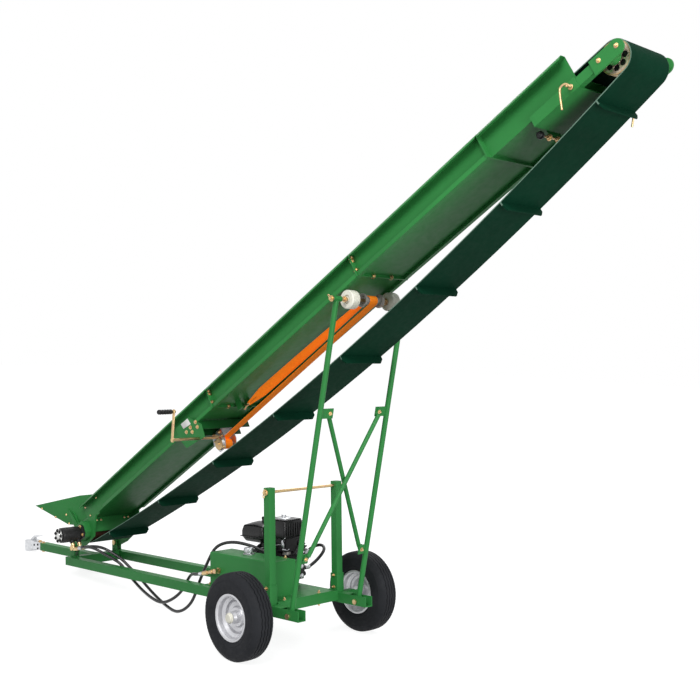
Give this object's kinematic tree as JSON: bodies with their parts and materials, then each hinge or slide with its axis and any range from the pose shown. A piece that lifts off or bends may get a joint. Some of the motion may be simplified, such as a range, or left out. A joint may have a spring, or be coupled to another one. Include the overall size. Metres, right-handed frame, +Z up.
{
  "type": "towed firewood conveyor",
  "caption": "Towed firewood conveyor: cleated belt in a long sloping steel trough, hinged on a two-wheel tow frame with engine, oil tank, hand winch and lift legs.",
  "frame": {"origin": "on the floor under the middle of the machine's length and width", "axes": "+X forward to the coupler, +Y to the machine's left, +Z up"},
  "size_m": [4.691, 0.958, 2.7067],
  "materials": {
    "green_paint": "gloss paint",
    "zinc": "zinc plated",
    "tyre": "matt rubber",
    "rim": "silver paint",
    "cast_black": "black paint",
    "black_paint": "gloss black",
    "black_plastic": "matt",
    "chrome": "chrome plated",
    "belt_rubber": "matt",
    "nylon": "turned nylon",
    "webbing": "woven",
    "hose": "satin"
  },
  "bodies": {
    "frame": {"frame_rails": "green_paint", "front_cross_tube": "green_paint", "rear_cross_tube": "green_paint", "drawbar": "green_paint", "drawbar_plate": "green_paint", "deck_plate": "green_paint", "outriggers": "green_paint", "axle_stubs": "green_paint", "hinge_clevises": "green_paint", "hinge_pins": "zinc", "foot_bolts": "zinc", "coupler_body": "zinc", "coupler_latch": "zinc", "post_sleeves": "green_paint", "rest_posts": "green_paint", "rest_rod": "zinc", "hydraulic_tank": "green_paint", "filler_cap": "chrome", "tank_fitting": "zinc", "engine_block": "cast_black", "engine_recoil_cowl": "black_paint", "engine_fuel_tank": "black_paint", "engine_air_cleaner": "black_plastic", "engine_muffler": "black_paint", "pump": "cast_black", "control_valve": "cast_black", "hose_pressure": "hose", "hose_return": "hose", "hose_loop": "hose"},
    "wheel_left": {"tyre_left": "tyre", "rim_left": "rim"},
    "wheel_right": {"tyre_right": "tyre", "rim_right": "rim"},
    "conveyor": {"trough_1": "green_paint", "trough_2": "green_paint", "trough_3": "green_paint", "trough_4": "green_paint", "tail_plates": "green_paint", "drive_drum": "cast_black", "tail_bearing": "cast_black", "hydraulic_motor": "black_paint", "motor_fittings": "zinc", "hopper_wings": "green_paint", "hopper_apron": "green_paint", "belt": "belt_rubber", "head_drum": "zinc", "takeup_tubes": "green_paint", "takeup_arms": "green_paint", "clamp_handles": "zinc", "winch_beam": "green_paint", "winch_plate": "green_paint", "winch": "zinc", "winch_crank": "black_paint", "lift_strap": "webbing"},
    "lift_legs": {"leg_left": "green_paint", "leg_right": "green_paint", "leg_braces": "green_paint", "leg_axle": "zinc", "strap_spool": "zinc"},
    "rollers": {"lift_rollers": "nylon"}
  },
  "joints": [
    {"name": "wheel_left_spin", "type": "hinge", "parent": "frame", "child": "wheel_left", "pos_m": [-0.50195, 0.418, 0.21], "axis": [0, 1, 0], "continuous": true},
    {"name": "wheel_right_spin", "type": "hinge", "parent": "frame", "child": "wheel_right", "pos_m": [-0.50195, -0.418, 0.21], "axis": [0, 1, 0], "continuous": true},
    {"name": "conveyor_tilt", "type": "hinge", "parent": "frame", "child": "conveyor", "pos_m": [1.46485, 0, 0.17783], "axis": [0, 1, 0], "range_deg": [-9.5, 3.5], "deforming": ["lift_strap", "hose_pressure", "hose_return"]},
    {"name": "leg_swing", "type": "hinge", "parent": "frame", "child": "lift_legs", "pos_m": [-0.66488, 0, 0.21613], "axis": [0, 1, 0], "range_deg": [-25.32, 9.36]},
    {"name": "roller_spin", "type": "hinge", "parent": "lift_legs", "child": "rollers", "pos_m": [-0.90764, 0, 1.73171], "axis": [0, 1, 0], "continuous": true}
  ],
  "couplings": [
    {"joint": "leg_swing", "follows": "conveyor_tilt", "ratio": 2.66}
  ]
}
